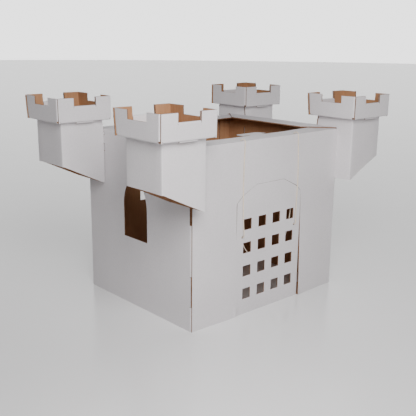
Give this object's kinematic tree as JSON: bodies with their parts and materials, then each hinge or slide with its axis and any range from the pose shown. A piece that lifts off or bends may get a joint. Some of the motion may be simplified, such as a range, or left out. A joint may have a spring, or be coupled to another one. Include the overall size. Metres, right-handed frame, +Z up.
{
  "type": "cardboard castle",
  "caption": "Free-standing play castle folded from white corrugated card, with corner towers, notched crowns, pointed windows and a corded drop gate.",
  "frame": {"origin": "middle of the footprint, on the floor", "axes": "+X along the gate wall to the right as seen from outside the gate, +Y from the gate wall towards the rear wall, +Z up"},
  "size_m": [1.4426, 1.004, 0.963],
  "materials": {
    "white_board": "white lined corrugated board, kraft brown inside and at the cut edges",
    "cotton_cord": "twisted natural cotton"
  },
  "bodies": {
    "root": {"walls_front_right": "white_board", "walls_left_rear": "white_board", "tower_front_left": "white_board", "tower_rear_left": "white_board", "tower_front_right": "white_board", "tower_rear_right": "white_board", "crown_front_left": "white_board", "crown_rear_left": "white_board", "crown_front_right": "white_board", "crown_rear_right": "white_board", "gate_cord": "cotton_cord", "knot_left": "cotton_cord", "knot_right": "cotton_cord"}
  },
  "joints": []
}
